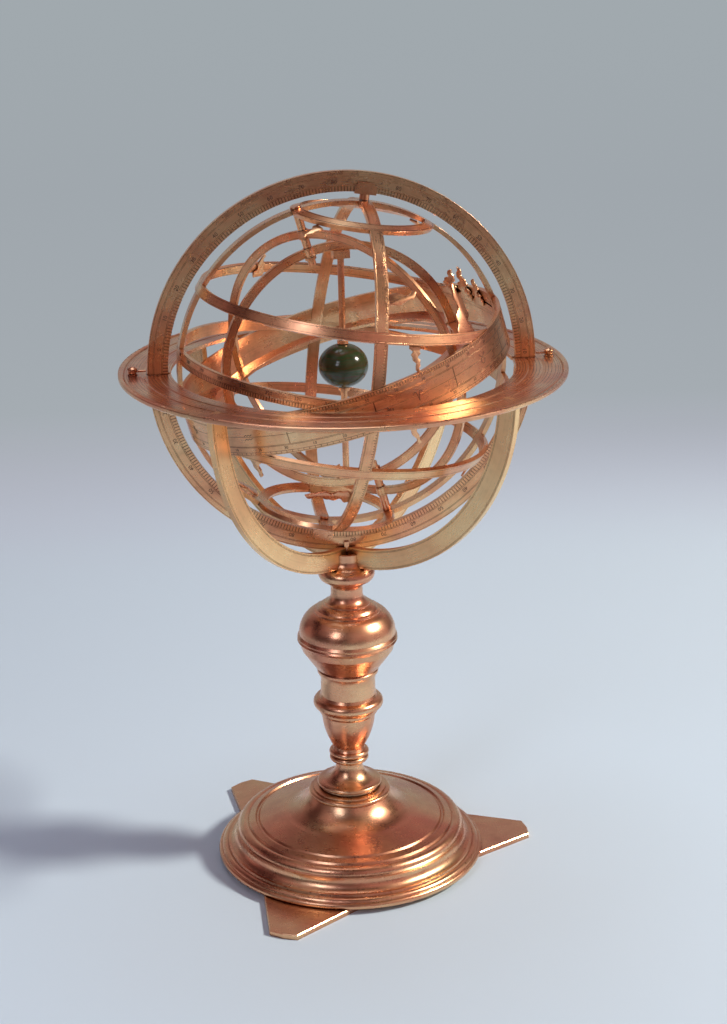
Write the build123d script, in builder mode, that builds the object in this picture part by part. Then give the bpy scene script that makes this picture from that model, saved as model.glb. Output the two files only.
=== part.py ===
from build123d import *

import os
from math import atan2, cos, degrees, radians, sin, sqrt, tan

# A table armillary sphere in gilt brass.
# Millimetres, +Z up. The origin is on the floor, on the axis of the pillar.
# X runs along the plane of the meridian ring, and the front of the sphere faces -Y.

os.makedirs("parts", exist_ok=True)

# Fits
running_gap = 0.05          # radial play of a pin that turns
fixed_gap = 0.02            # all round a pin or tenon that stays put
lap_gap = 0.06              # between the halves of a lap joint
slide_gap = 0.3             # beside the meridian ring where it slides

# Heights
centre_height = 288.0       # centre of the sphere above the floor
toe_thickness = 3.0
hub_height = 37.4           # top of the dish, where the pillar stands
foot_height = 56.5          # top of the pillar's foot
vase_height = 112.0
bulb_height = 158.8
collar_height = 183.1       # top of the slotted collar

# Rings, as radii from the centre of the sphere
meridian_outer = 103.7
meridian_inner = 92.9
meridian_thickness = 3.2
horizon_outer = 119.2
horizon_inner = 91.4
horizon_thickness = 2.0
arc_outer = 112.9
arc_inner = 101.8
arc_thickness = 3.5
arc_turn = 47.0             # the cradle arcs stand this far round from the meridian plane
cage_outer = 88.5
cage_thickness = 2.4
colure_width = 6.4
parallel_width = 5.5
zodiac_width = 21.0

# The sky
polar_tilt = 7.8            # how far the pole leans from upright, along the meridian ring
cage_turn = -87.0           # how far the spring equinox is turned round the poles
obliquity = 23.5

# Circles on the ecliptic axis
latitude_outer = 76.5
latitude_inner = 72.0
latitude_thickness = 2.0
latitude_turn = 132.4       # rest angle of the circle's face round the ecliptic axis
earth_outer = 66.7
earth_inner = 62.0
earth_thickness = 2.2
earth_turn = 8.0
sun_outer = 71.3
sun_inner = 61.0
sun_thickness = 1.6
rod_radius = 1.75
rod_lean = -15.5            # the rod leans this far from the ecliptic axis
ball_radius = 13.3
ball_half_height = 11.8

# Dished foot and its toes
dish_radius = 75.4
rim_inner = 64.0
rim_height = 9.4
toe_turn = 2.3
toe_root = 62.0
toe_reach = 105.0
toe_root_width = 58.0
toe_tip_width = 16.0
toe_screw_radius = 1.3
toe_screw_head = 2.6
toe_screw_seat = 70.0       # distance of the screws from the axis
toe_screw_spread = 12.0

# Pillar
rod_bore = 2.5              # radius of the tie rod
register_radius = 5.0       # raised register on each turned piece
register_height = 1.5
collar_radius = 9.2
collar_bore = 7.0

# Pole pins, clips and the fork
pole_pin_radius = 1.15
sleeve_radius = 2.6
sleeve_gap = 0.4            # between the sleeve and the cage
clip_half_width = 5.7
clip_web = 1.0
clip_reach = 5.0            # how far the cheeks reach up the meridian ring
clip_rivet_radius = 0.7
fork_width = 2.6
fork_cheek = 1.2
fork_web = 0.9
fork_reach = 5.3            # how far the fork's cheeks reach up past the ring's rim

# Ecliptic pins
ecliptic_pin_radius = 1.3
ecliptic_pin_end = 57.0
ecliptic_boss_radius = 2.9
ecliptic_collar_radius = 2.2
ecliptic_head_radius = 2.8
ecliptic_knob_radius = 3.0

# Lock fingers on the horizon ring
lock_seat = 111.5           # distance of the studs from the axis
stud_radius = 1.1
stud_foot_radius = 2.6
stud_head_radius = 2.9
finger_radius = 0.7

centre = Vector(0, 0, centre_height)
cage_inner = cage_outer - cage_thickness
under_parallels = cage_outer - 0.66 * cage_thickness      # a parallel laps over a colure here
under_zodiac = cage_outer - 0.5 * cage_thickness          # the zodiac laps over a colure here
under_zodiac_edge = cage_outer - 0.34 * cage_thickness    # the zodiac laps over a parallel here


def polar(radius, degrees_round, height=0.0):
    """A point given by its distance from the axis, its direction and its height."""
    turn = radians(degrees_round)
    return (radius * cos(turn), radius * sin(turn), height)


def about(direction):
    return Axis((0, 0, 0), direction)


def turned(plane, degrees_round):
    """The same plane turned about its own Z."""
    return Plane(
        origin=plane.origin,
        x_dir=plane.x_dir.rotate(about(plane.z_dir), degrees_round),
        z_dir=plane.z_dir,
    )


# Planes. Local Z is the axis of each circle.
meridian_plane = Plane(origin=centre, x_dir=(1, 0, 0), z_dir=(0, -1, 0))
tilt = radians(polar_tilt)
untwisted = Plane(origin=centre, x_dir=(cos(tilt), 0, -sin(tilt)), z_dir=(sin(tilt), 0, cos(tilt)))
sky = turned(untwisted, cage_turn)
ecliptic = Plane(
    origin=centre, x_dir=sky.x_dir, z_dir=sky.z_dir.rotate(about(sky.x_dir), obliquity)
)
equinox_plane = Plane(origin=centre, x_dir=sky.x_dir, z_dir=sky.y_dir)
solstice_plane = Plane(origin=centre, x_dir=sky.y_dir, z_dir=sky.x_dir)


def circle_on_ecliptic_axis(turn):
    """The plane of a circle that holds the ecliptic axis, which is its local X."""
    facing = turned(ecliptic, turn).x_dir
    return Plane(origin=centre, x_dir=ecliptic.z_dir, z_dir=facing)


latitude_plane = circle_on_ecliptic_axis(latitude_turn)
earth_plane = circle_on_ecliptic_axis(earth_turn)


def section_of(plane, seam=17.0):
    """A half plane through the axis of a circle: local X outwards, local Y along the axis."""
    side = turned(plane, seam)
    return Plane(origin=plane.origin, x_dir=side.x_dir, z_dir=-side.y_dir)


def axis_of(plane):
    return Axis(plane.origin, plane.z_dir)


def radial_plane(direction, distance):
    """A plane square to a direction from the centre of the sphere, at a distance from it."""
    return Plane(origin=centre + direction * distance, z_dir=direction)


def band(plane, width, latitude=0.0, inner=cage_inner, outer=cage_outer):
    """A ring of rectangular section whose face is square to the radius at its latitude."""
    middle = (inner + outer) / 2
    with BuildPart() as ring:
        with BuildSketch(section_of(plane)):
            with Locations(polar(middle, latitude)[:2]):
                Rectangle(outer - inner, width, rotation=latitude)
        revolve(axis=axis_of(plane))
    return ring.part


def flat_ring(plane, inner, outer, thickness):
    with BuildPart() as ring:
        with BuildSketch(plane):
            Circle(outer)
            Circle(inner, mode=Mode.SUBTRACT)
        extrude(amount=thickness / 2, both=True)
    return ring.part


def peg(direction, start, end, radius):
    """A round bar along a direction from the centre of the sphere."""
    with BuildPart() as bar:
        with BuildSketch(radial_plane(direction, start)):
            Circle(radius)
        extrude(amount=end - start)
    return bar.part


def cut_away(solids, tools):
    """Joins solids and takes tools off them."""
    with BuildPart() as piece:
        add(solids)
        add(tools, mode=Mode.SUBTRACT)
    return piece


def common(first, second):
    with BuildPart() as piece:
        add(first)
        add(second, mode=Mode.INTERSECT)
    return piece.part


# Foot

with BuildPart() as base_dish:
    rim = toe_thickness
    with BuildSketch(Plane.XZ):
        with BuildLine():
            Polyline((rod_bore + fixed_gap, hub_height), (22.6, hub_height))
            ThreePointArc((22.6, hub_height), (28.4, 30.6), (38.0, 26.6))
            Polyline((38.0, 26.6), (51.6, 23.2), (52.4, 22.2), (53.5, 22.1), (54.3, 23.0), (57.6, 22.0))
            Line((57.6, 22.0), (58.4, 20.9))
            ThreePointArc((58.4, 20.9), (62.2, 20.6), (64.1, 17.6))
            Line((64.1, 17.6), (64.9, 16.9))
            ThreePointArc((64.9, 16.9), (65.2, 12.4), (68.4, rim_height))
            Polyline((68.4, rim_height), (69.8, rim_height), (70.3, 8.1))
            ThreePointArc((70.3, 8.1), (72.7, 7.7), (73.6, 6.2))
            Line((73.6, 6.2), (74.5, 6.2))
            ThreePointArc((74.5, 6.2), (dish_radius, 4.8), (74.7, rim))
            Polyline((74.7, rim), (rim_inner, rim), (rim_inner, 6.0), (61.4, 8.6), (61.4, 15.0))
            Polyline((61.4, 15.0), (57.5, 18.4), (50.5, 20.4), (38.0, 23.6))
            ThreePointArc((38.0, 23.6), (27.6, 27.2), (20.4, 34.4))
            Polyline((20.4, 34.4), (rod_bore + fixed_gap, 34.4), (rod_bore + fixed_gap, hub_height))
        make_face()
    revolve(axis=Axis.Z)
    screw_places = [
        polar(sqrt(toe_screw_seat**2 + side**2), turn + degrees(atan2(side, toe_screw_seat)))
        for turn in (toe_turn, toe_turn + 120, toe_turn + 240)
        for side in (-toe_screw_spread, toe_screw_spread)
    ]
    with Locations(*[(x, y, rim) for x, y, z in screw_places]):
        with Locations(Location((0, 0, 0), (180, 0, 0))):
            Hole(toe_screw_radius + fixed_gap, depth=3.2)
base_dish.part.label = "base_dish"
export_step(base_dish.part, "parts/base_dish.step")

for name, turn in (("toe_right", 0), ("toe_back", 120), ("toe_front", 240)):
    toe_axis = Plane.XY.rotated((0, 0, toe_turn + turn))
    with BuildPart() as toe:
        with BuildSketch(toe_axis):
            with BuildLine():
                Polyline(
                    (toe_root, toe_root_width / 2),
                    (toe_reach - 1.0, toe_tip_width / 2),
                    (toe_reach, 0),
                    (toe_reach - 1.0, -toe_tip_width / 2),
                    (toe_root, -toe_root_width / 2),
                    close=True,
                )
            make_face()
        extrude(amount=toe_thickness)
        chamfer(toe.faces().sort_by(Axis.Z)[-1].edges(), 0.5)
        with BuildSketch(toe_axis):
            with Locations((toe_screw_seat, toe_screw_spread), (toe_screw_seat, -toe_screw_spread)):
                Circle(toe_screw_head + fixed_gap)
        extrude(amount=toe_screw_head - toe_screw_radius, taper=45, mode=Mode.SUBTRACT)
        with BuildSketch(toe_axis):
            with Locations((toe_screw_seat, toe_screw_spread), (toe_screw_seat, -toe_screw_spread)):
                Circle(toe_screw_radius + fixed_gap)
        extrude(amount=toe_thickness, mode=Mode.SUBTRACT)
    toe.part.label = name
    export_step(toe.part, f"parts/{name}.step")

with BuildPart() as toe_screws:
    with BuildSketch(Plane.XY.offset(0.1)):
        with Locations(*[(x, y) for x, y, z in screw_places]):
            Circle(toe_screw_head - 0.1)
    extrude(amount=toe_screw_head - toe_screw_radius - 0.1, taper=45)
    with BuildSketch(Plane.XY.offset(0.1)):
        with Locations(*[(x, y) for x, y, z in screw_places]):
            Circle(toe_screw_radius)
    extrude(amount=toe_thickness + 2.8)
toe_screws.part.label = "toe_screws"
export_step(toe_screws.part, "parts/toe_screws.step")

# Pillar: four turned pieces on one tie rod, each with a raised register that centres the next

bore = rod_bore + fixed_gap
register_bore = register_radius + fixed_gap
register_depth = register_height + 0.1

with BuildPart() as pillar_foot:
    with BuildSketch(Plane.XZ):
        with BuildLine():
            Line((bore, hub_height), (22.4, hub_height))
            ThreePointArc((22.4, hub_height), (23.3, hub_height + 1.4), (22.2, hub_height + 2.7))
            Polyline((22.2, 40.1), (20.6, 40.3), (20.6, 41.4), (17.0, 42.0), (16.8, 43.0), (17.4, 43.1))
            ThreePointArc((17.4, 43.1), (18.2, 44.3), (17.2, 45.5))
            Line((17.2, 45.5), (16.2, 45.8))
            ThreePointArc((16.2, 45.8), (10.2, 48.9), (7.5, 54.4))
            Polyline((7.5, 54.4), (7.5, foot_height), (register_radius, foot_height))
            Line((register_radius, foot_height), (register_radius, foot_height + register_height))
            Line((register_radius, foot_height + register_height), (bore, foot_height + register_height))
            Line((bore, foot_height + register_height), (bore, hub_height))
        make_face()
    revolve(axis=Axis.Z)
pillar_foot.part.label = "pillar_foot"
export_step(pillar_foot.part, "parts/pillar_foot.step")

with BuildPart() as pillar_vase:
    with BuildSketch(Plane.XZ):
        with BuildLine():
            Line((register_bore, foot_height), (8.0, foot_height))
            Line((8.0, foot_height), (9.0, 57.6))
            ThreePointArc((9.0, 57.6), (11.0, 59.3), (9.6, 61.0))
            ThreePointArc((9.6, 61.0), (11.2, 62.7), (9.2, 64.4))
            Polyline((9.2, 64.4), (8.6, 65.4), (8.8, 66.6))
            ThreePointArc((8.8, 66.6), (12.9, 75.4), (15.0, 86.4))
            Polyline((15.0, 86.4), (16.2, 87.8), (16.5, 89.4), (17.8, 90.6))
            ThreePointArc((17.8, 90.6), (19.6, 93.6), (17.8, 96.6))
            Polyline((17.8, 96.6), (16.2, 97.2), (15.4, 98.8), (15.2, 106.0))
            ThreePointArc((15.2, 106.0), (15.5, 109.4), (16.5, vase_height))
            Line((16.5, vase_height), (register_radius, vase_height))
            Line((register_radius, vase_height), (register_radius, vase_height + register_height))
            Line((register_radius, vase_height + register_height), (bore, vase_height + register_height))
            Line((bore, vase_height + register_height), (bore, foot_height + register_depth))
            Line((bore, foot_height + register_depth), (register_bore, foot_height + register_depth))
            Line((register_bore, foot_height + register_depth), (register_bore, foot_height))
        make_face()
    revolve(axis=Axis.Z)
pillar_vase.part.label = "pillar_vase"
export_step(pillar_vase.part, "parts/pillar_vase.step")

with BuildPart() as pillar_bulb:
    with BuildSketch(Plane.XZ):
        with BuildLine():
            Polyline((register_bore, vase_height), (17.0, vase_height), (17.2, 113.6), (16.6, 114.2))
            Line((16.6, 114.2), (17.9, 115.4))
            ThreePointArc((17.9, 115.4), (21.4, 120.2), (25.4, 126.0))
            Polyline((25.4, 126.0), (26.7, 130.2), (27.4, 130.8), (27.9, 131.8), (27.4, 132.8))
            Polyline((27.4, 132.8), (27.8, 133.8), (27.2, 134.8), (26.8, 135.4))
            ThreePointArc((26.8, 135.4), (25.9, 140.9), (23.2, 145.4))
            ThreePointArc((23.2, 145.4), (21.2, 147.4), (18.8, 148.5))
            Polyline((18.8, 148.5), (18.6, 149.3), (16.8, 149.8))
            ThreePointArc((16.8, 149.8), (15.2, 151.6), (13.0, 152.6))
            Polyline((13.0, 152.6), (12.8, 153.4), (11.6, 153.8))
            ThreePointArc((11.6, 153.8), (9.6, 155.9), (8.8, bulb_height))
            Line((8.8, bulb_height), (register_radius, bulb_height))
            Line((register_radius, bulb_height), (register_radius, bulb_height + register_height))
            Line((register_radius, bulb_height + register_height), (bore, bulb_height + register_height))
            Line((bore, bulb_height + register_height), (bore, vase_height + register_depth))
            Line((bore, vase_height + register_depth), (register_bore, vase_height + register_depth))
            Line((register_bore, vase_height + register_depth), (register_bore, vase_height))
        make_face()
    revolve(axis=Axis.Z)
pillar_bulb.part.label = "pillar_bulb"
export_step(pillar_bulb.part, "parts/pillar_bulb.step")

arc_bottom = centre_height - arc_outer
rod_top = 170.0
ceiling = 34.4              # underside of the dish's hub, where the washer bears


def arc_plane(turn):
    """The upright plane of a cradle arc: local X along the arc's foot, local Y up."""
    along = Vector(*polar(1, turn))
    return Plane(origin=centre, x_dir=along, z_dir=along.cross(Vector(0, 0, 1)))


arc_slots = [
    flat_ring(arc_plane(turn), arc_inner, arc_outer + fixed_gap, arc_thickness + 2 * fixed_gap)
    for turn in (arc_turn, -arc_turn)
]

with BuildPart() as pillar_cup:
    with BuildSketch(Plane.XZ):
        with BuildLine():
            Line((register_bore, bulb_height), (8.8, bulb_height))
            Line((8.8, bulb_height), (8.8, 162.0))
            ThreePointArc((8.8, 162.0), (9.8, 164.6), (12.4, 166.2))
            Line((12.4, 166.2), (13.2, 166.7))
            ThreePointArc((13.2, 166.7), (15.6, 170.4), (13.8, 174.0))
            Line((13.8, 174.0), (13.2, 174.5))
            ThreePointArc((13.2, 174.5), (10.4, 176.2), (collar_radius, 179.6))
            Polyline(
                (collar_radius, 179.6),
                (collar_radius, collar_height),
                (collar_bore, collar_height),
                (collar_bore, arc_bottom),
                (0, arc_bottom),
                (0, rod_top + 0.2),
                (bore, rod_top + 0.2),
                (bore, bulb_height + register_depth),
                (register_bore, bulb_height + register_depth),
                (register_bore, bulb_height),
            )
        make_face()
    revolve(axis=Axis.Z)
    add(arc_slots, mode=Mode.SUBTRACT)
pillar_cup.part.label = "pillar_cup"
export_step(pillar_cup.part, "parts/pillar_cup.step")

washer_thickness = 1.2
washer_radius = 8.0
nut_height = 4.6
nut_radius = 5.8
nut_foot = ceiling - washer_thickness - nut_height
rod_foot = nut_foot - 2.2

with BuildPart() as tie_rod:
    with BuildSketch(Plane.XY.offset(rod_foot)):
        Circle(rod_bore)
    extrude(amount=rod_top - rod_foot)
    chamfer(tie_rod.edges().filter_by(GeomType.CIRCLE), 0.5)
tie_rod.part.label = "tie_rod"
export_step(tie_rod.part, "parts/tie_rod.step")

with BuildPart() as tie_washer:
    with BuildSketch(Plane.XY.offset(ceiling - washer_thickness)):
        Circle(washer_radius)
        Circle(bore, mode=Mode.SUBTRACT)
    extrude(amount=washer_thickness)
tie_washer.part.label = "tie_washer"
export_step(tie_washer.part, "parts/tie_washer.step")

with BuildPart() as tie_nut:
    with BuildSketch(Plane.XY.offset(nut_foot)):
        RegularPolygon(nut_radius, 6)
        Circle(bore, mode=Mode.SUBTRACT)
    extrude(amount=nut_height)
tie_nut.part.label = "tie_nut"
export_step(tie_nut.part, "parts/tie_nut.step")

# Cradle: two crossed half rings, halved together where they cross, tenoned into the horizon ring

horizon_top = centre_height
horizon_bottom = centre_height - horizon_thickness
fork_half = meridian_thickness / 2 + slide_gap / 2 + fork_cheek
fork_rim = meridian_outer + slide_gap
notch_depth = fork_rim + fork_web
halving = (notch_depth + arc_outer) / 2
tenon_shoulder = 3.0
tenon_inner = arc_inner + tenon_shoulder
tenon_outer = arc_outer - tenon_shoulder


def tenons(plane, gap):
    """The four-sided tongues at the two ends of a cradle arc, as deep as the horizon ring."""
    width = tenon_outer - tenon_inner + 2 * gap
    middle = (tenon_inner + tenon_outer) / 2
    with BuildPart() as tongues:
        with BuildSketch(plane):
            with Locations((middle, -horizon_thickness), (-middle, -horizon_thickness)):
                Rectangle(width, 2 * horizon_thickness)
        extrude(amount=arc_thickness / 2 + gap, both=True)
    return tongues.part


def cradle_arc(turn, other_turn, takes_upper_half):
    """A half ring under the horizon, notched for the meridian ring and halved over its partner."""
    plane = arc_plane(turn)
    whole_ring = flat_ring(plane, arc_inner, arc_outer, arc_thickness)
    tongues = tenons(plane, 0)
    with BuildPart() as arc:
        add(whole_ring)
        with BuildSketch(Plane.XY.offset(horizon_bottom)):
            Circle(2 * arc_outer)
        extrude(amount=2 * arc_outer, mode=Mode.SUBTRACT)
        add(tongues)
        with BuildSketch(Plane.YZ):
            with Locations((0, centre_height)):
                Rectangle(2 * fork_half + 2 * fixed_gap, 2 * (notch_depth + fixed_gap))
        extrude(amount=12, both=True, mode=Mode.SUBTRACT)
        low, high = (halving - lap_gap / 2, 2 * arc_outer) if takes_upper_half else (0, halving + lap_gap / 2)
        with BuildSketch(arc_plane(other_turn)):
            with Locations((0, -(low + high) / 2)):
                Rectangle(40, high - low)
        extrude(amount=arc_thickness / 2 + fixed_gap, both=True, mode=Mode.SUBTRACT)
    return arc


cradle_arc_upper = cradle_arc(arc_turn, -arc_turn, True)
cradle_arc_upper.part.label = "cradle_arc_upper"
export_step(cradle_arc_upper.part, "parts/cradle_arc_upper.step")

cradle_arc_lower = cradle_arc(-arc_turn, arc_turn, False)
cradle_arc_lower.part.label = "cradle_arc_lower"
export_step(cradle_arc_lower.part, "parts/cradle_arc_lower.step")

with BuildPart() as meridian_fork:
    fork_top = centre_height - fork_rim + fork_reach
    fork_foot = centre_height - notch_depth
    with BuildSketch(Plane.YZ):
        with BuildLine():
            gap_half = fork_half - fork_cheek
            web_top = centre_height - fork_rim
            Polyline(
                (-fork_half, fork_foot),
                (fork_half, fork_foot),
                (fork_half, fork_top),
                (gap_half, fork_top),
                (gap_half, web_top),
                (-gap_half, web_top),
                (-gap_half, fork_top),
                (-fork_half, fork_top),
                close=True,
            )
        make_face()
    extrude(amount=fork_width / 2, both=True)
meridian_fork.part.label = "meridian_fork"
export_step(meridian_fork.part, "parts/meridian_fork.step")

# Horizon ring: turned steps on top, a raised bead at the rim and a notch each side for the meridian

tenon_slots = [tenons(arc_plane(turn), fixed_gap) for turn in (arc_turn, -arc_turn)]

with BuildPart() as horizon_ring:
    with BuildSketch(Plane.XZ):
        with BuildLine():
            top = horizon_top
            bottom = horizon_bottom
            Polyline(
                (horizon_inner, bottom),
                (horizon_outer - 0.6, bottom),
                (horizon_outer, bottom + 0.7),
                (horizon_outer, top + 0.1),
            )
            ThreePointArc((horizon_outer, top + 0.1), (117.9, top + 0.7), (116.4, top + 0.1))
            Polyline(
                (116.4, top + 0.1),
                (116.1, top - 0.4),
                (115.3, top),
                (107.4, top),
                (107.0, top - 0.35),
                (106.2, top - 0.35),
                (105.8, top),
                (99.4, top),
                (99.0, top - 0.35),
                (98.2, top - 0.35),
                (97.8, top),
                (horizon_inner, top),
                (horizon_inner, bottom),
            )
        make_face()
    revolve(axis=Axis.Z)
    notch_end = meridian_outer + slide_gap
    with BuildSketch(Plane.XY.offset(bottom - 1)):
        with Locations((notch_end - 10, 0), (10 - notch_end, 0)):
            Rectangle(20, meridian_thickness + 2 * slide_gap)
    extrude(amount=horizon_thickness + 3, mode=Mode.SUBTRACT)
    add(tenon_slots, mode=Mode.SUBTRACT)
    with Locations((lock_seat, 0, top), (-lock_seat, 0, top)):
        Hole(stud_radius + fixed_gap)
horizon_ring.part.label = "horizon_ring"
export_step(horizon_ring.part, "parts/horizon_ring.step")

# A turned stud each side of the meridian ring, with a thin finger that swings on it

stud_foot_height = 1.1
finger_hub_height = 1.6
stud_head_height = 1.8
finger_axis_height = horizon_top + stud_foot_height + running_gap + finger_hub_height / 2
stud_neck_top = horizon_top + stud_foot_height + finger_hub_height + 2 * running_gap
finger_tip = meridian_outer + slide_gap + 0.3

for name, side in (("left", -1), ("right", 1)):
    seat = side * lock_seat
    with BuildPart() as lock_knob:
        with BuildSketch(Plane.XZ):
            with BuildLine():
                Polyline(
                    (0, horizon_bottom),
                    (stud_radius, horizon_bottom),
                    (stud_radius, horizon_top),
                    (stud_foot_radius, horizon_top),
                    (stud_foot_radius, horizon_top + 0.5),
                    (stud_radius + 0.6, horizon_top + stud_foot_height),
                    (stud_radius, horizon_top + stud_foot_height),
                    (stud_radius, stud_neck_top),
                    (stud_head_radius - 0.5, stud_neck_top),
                    (stud_head_radius, stud_neck_top + 0.5),
                )
                head_top = stud_neck_top + stud_head_height
                TangentArc((0, head_top), (stud_head_radius, stud_neck_top + 0.5), tangent=(1, 0))
                Line((0, head_top), (0, horizon_bottom))
            make_face()
        revolve(axis=Axis.Z)
    knob = lock_knob.part.moved(Location((seat, 0, 0)))
    knob.label = f"lock_knob_{name}"
    export_step(knob, f"parts/lock_knob_{name}.step")

    with BuildPart() as lock_finger:
        with BuildSketch(Plane.XY.offset(finger_axis_height - finger_hub_height / 2)):
            with Locations((seat, 0)):
                Circle(stud_radius + 1.1)
        extrude(amount=finger_hub_height)
        with BuildSketch(Plane(origin=(seat, 0, finger_axis_height), z_dir=(-side, 0, 0))):
            Circle(finger_radius)
        extrude(amount=lock_seat - finger_tip, taper=2)
        with Locations((seat, 0, horizon_top + 10)):
            Hole(stud_radius + running_gap, depth=20)
    lock_finger.part.label = f"lock_finger_{name}"
    export_step(lock_finger.part, f"parts/lock_finger_{name}.step")

# Meridian ring, its pole clips and their rivets

pole = sky.z_dir
poles = (("north", pole), ("south", -pole))
pin_tip = meridian_inner + 3.4
clip_foot = meridian_inner - clip_web
clip_top = meridian_inner + clip_reach
clip_shoulder = 1.2
clip_half_depth = meridian_thickness / 2 + clip_web
rivet_spread = 3.8
rivet_circle = meridian_inner + 2.9


def across(direction):
    """A plane in the face of the meridian ring: local Y away from the centre, at a pole."""
    return Plane(origin=centre, x_dir=direction.cross(Vector(0, -1, 0)), z_dir=(0, -1, 0))


def rivet_shanks(direction, radius, half_length):
    """Two cross pins through a clip and the ring."""
    with BuildPart() as shanks:
        with BuildSketch(across(direction)):
            with Locations((-rivet_spread, rivet_circle), (rivet_spread, rivet_circle)):
                Circle(radius)
        extrude(amount=half_length, both=True)
    return shanks.part


whole_meridian = flat_ring(meridian_plane, meridian_inner, meridian_outer, meridian_thickness)
shank_holes = [
    rivet_shanks(direction, clip_rivet_radius + fixed_gap, 2 * clip_half_depth)
    for name, direction in poles
]
pin_holes = [
    peg(direction, cage_outer, pin_tip + 0.4, pole_pin_radius + running_gap) for name, direction in poles
]

meridian_ring = cut_away(whole_meridian, pin_holes + shank_holes)
meridian_ring.part.label = "meridian_ring"
export_step(meridian_ring.part, "parts/meridian_ring.step")

for name, direction in poles:
    sleeve = peg(direction, cage_outer + sleeve_gap, clip_foot + 0.5, sleeve_radius)
    with BuildPart() as pole_clip:
        with BuildSketch(across(direction)):
            with BuildLine():
                Polyline(
                    (-clip_half_width, clip_foot),
                    (clip_half_width, clip_foot),
                    (clip_half_width, clip_top - clip_shoulder),
                    (clip_half_width - clip_shoulder, clip_top - clip_shoulder),
                    (clip_half_width - clip_shoulder, clip_top),
                    (clip_shoulder - clip_half_width, clip_top),
                    (clip_shoulder - clip_half_width, clip_top - clip_shoulder),
                    (-clip_half_width, clip_top - clip_shoulder),
                    close=True,
                )
            make_face()
        extrude(amount=clip_half_depth, both=True)
        add(sleeve)
        add([whole_meridian] + pin_holes + shank_holes, mode=Mode.SUBTRACT)
    pole_clip.part.label = f"pole_clip_{name}"
    export_step(pole_clip.part, f"parts/pole_clip_{name}.step")

rivet_head = 0.35
shanks = [rivet_shanks(direction, clip_rivet_radius, clip_half_depth) for name, direction in poles]
with BuildPart() as clip_rivets:
    add(shanks)
    for name, direction in poles:
        for side in (-1, 1):
            face = across(direction).offset(side * clip_half_depth)
            with BuildSketch(face):
                with Locations((-rivet_spread, rivet_circle), (rivet_spread, rivet_circle)):
                    Circle(clip_rivet_radius + rivet_head)
            extrude(amount=side * rivet_head)
clip_rivets.part.label = "clip_rivets"
export_step(clip_rivets.part, "parts/clip_rivets.step")

# Celestial cage
# Every ring keeps its full thickness except where two cross. There the upper ring keeps its
# outer part and the lower ring its inner part, so the outside of the cage stays flush.
# The zodiac lies over the parallels, and the parallels over the colures.

clear = 4.0                 # how far a cutter reaches past the metal
parallels = {
    "equator_ring": (0.0, colure_width),
    "tropic_cancer": (obliquity, parallel_width),
    "tropic_capricorn": (-obliquity, parallel_width),
    "arctic_circle": (90 - obliquity, parallel_width),
    "antarctic_circle": (obliquity - 90, parallel_width),
}
crossed_by_zodiac = ("equator_ring", "tropic_cancer", "tropic_capricorn")
ecliptic_pole = ecliptic.z_dir
ecliptic_poles = (("north", ecliptic_pole), ("south", -ecliptic_pole))


def slab(plane, width, rise=0.0):
    """A slice of all space between two planes, as wide as a ring that lies in it."""
    with BuildPart() as slice_of_space:
        with BuildSketch(plane.offset(rise - width / 2 - lap_gap)):
            Circle(cage_outer + 4 * clear)
        extrude(amount=width + 2 * lap_gap)
    return slice_of_space.part


def lower_part(plane, width, latitude, depth, crossing):
    """What an upper ring loses where another passes under it."""
    inside = band(plane, width + 1, latitude, cage_inner - clear, depth + lap_gap / 2)
    return common(inside, crossing)


def upper_part(plane, width, latitude, depth, crossing):
    """What a lower ring loses where another passes over it."""
    outside = band(plane, width + 1, latitude, depth - lap_gap / 2, cage_outer + clear)
    return common(outside, crossing)


def parallel_notches(side):
    """Notches for the five parallels, along the half circle that leaves the axis at a side."""
    notches = []
    for latitude, width in parallels.values():
        rise = radians(latitude)
        out = side * cos(rise) + sky.z_dir * sin(rise)
        bow = tan(abs(rise)) * (colure_width / 2) ** 2 / (2 * cage_outer)
        floor = Plane(
            origin=centre + out * (under_parallels - lap_gap),
            x_dir=sky.z_dir.cross(side),
            z_dir=out,
        )
        with BuildPart() as notch:
            with BuildSketch(floor):
                Rectangle(colure_width + 2, width + 2 * (bow + lap_gap))
            extrude(amount=cage_outer + clear - under_parallels)
        notches.append(notch.part)
    return notches


def tropic_slab(latitude, width):
    """The slice of space that holds a tropic."""
    rise = radians(latitude)
    height = width * cos(rise) + cage_thickness * sin(abs(rise))
    return slab(sky, height, (cage_inner + cage_outer) / 2 * sin(rise))


equinox_slab = slab(equinox_plane, colure_width)
solstice_slab = slab(solstice_plane, colure_width)
zodiac_slab = slab(ecliptic, zodiac_width)
pole_holes = [peg(d, cage_inner - 2, cage_outer + 2, pole_pin_radius + fixed_gap) for n, d in poles]
ecliptic_holes = [
    peg(d, cage_inner - 2, cage_outer + 2, ecliptic_pin_radius + fixed_gap) for n, d in ecliptic_poles
]

colure_equinox = cut_away(
    band(equinox_plane, colure_width),
    parallel_notches(sky.x_dir)
    + parallel_notches(-sky.x_dir)
    + pole_holes
    + [
        lower_part(equinox_plane, colure_width, 0, under_zodiac, solstice_slab),
        upper_part(equinox_plane, colure_width, 0, under_zodiac, zodiac_slab),
    ],
)
colure_equinox.part.label = "colure_equinox"
export_step(colure_equinox.part, "parts/colure_equinox.step")

colure_solstice = cut_away(
    band(solstice_plane, colure_width),
    parallel_notches(sky.y_dir)
    + parallel_notches(-sky.y_dir)
    + pole_holes
    + ecliptic_holes
    + [
        upper_part(solstice_plane, colure_width, 0, under_zodiac, equinox_slab),
        upper_part(solstice_plane, colure_width, 0, under_zodiac, zodiac_slab),
    ],
)
colure_solstice.part.label = "colure_solstice"
export_step(colure_solstice.part, "parts/colure_solstice.step")

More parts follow.
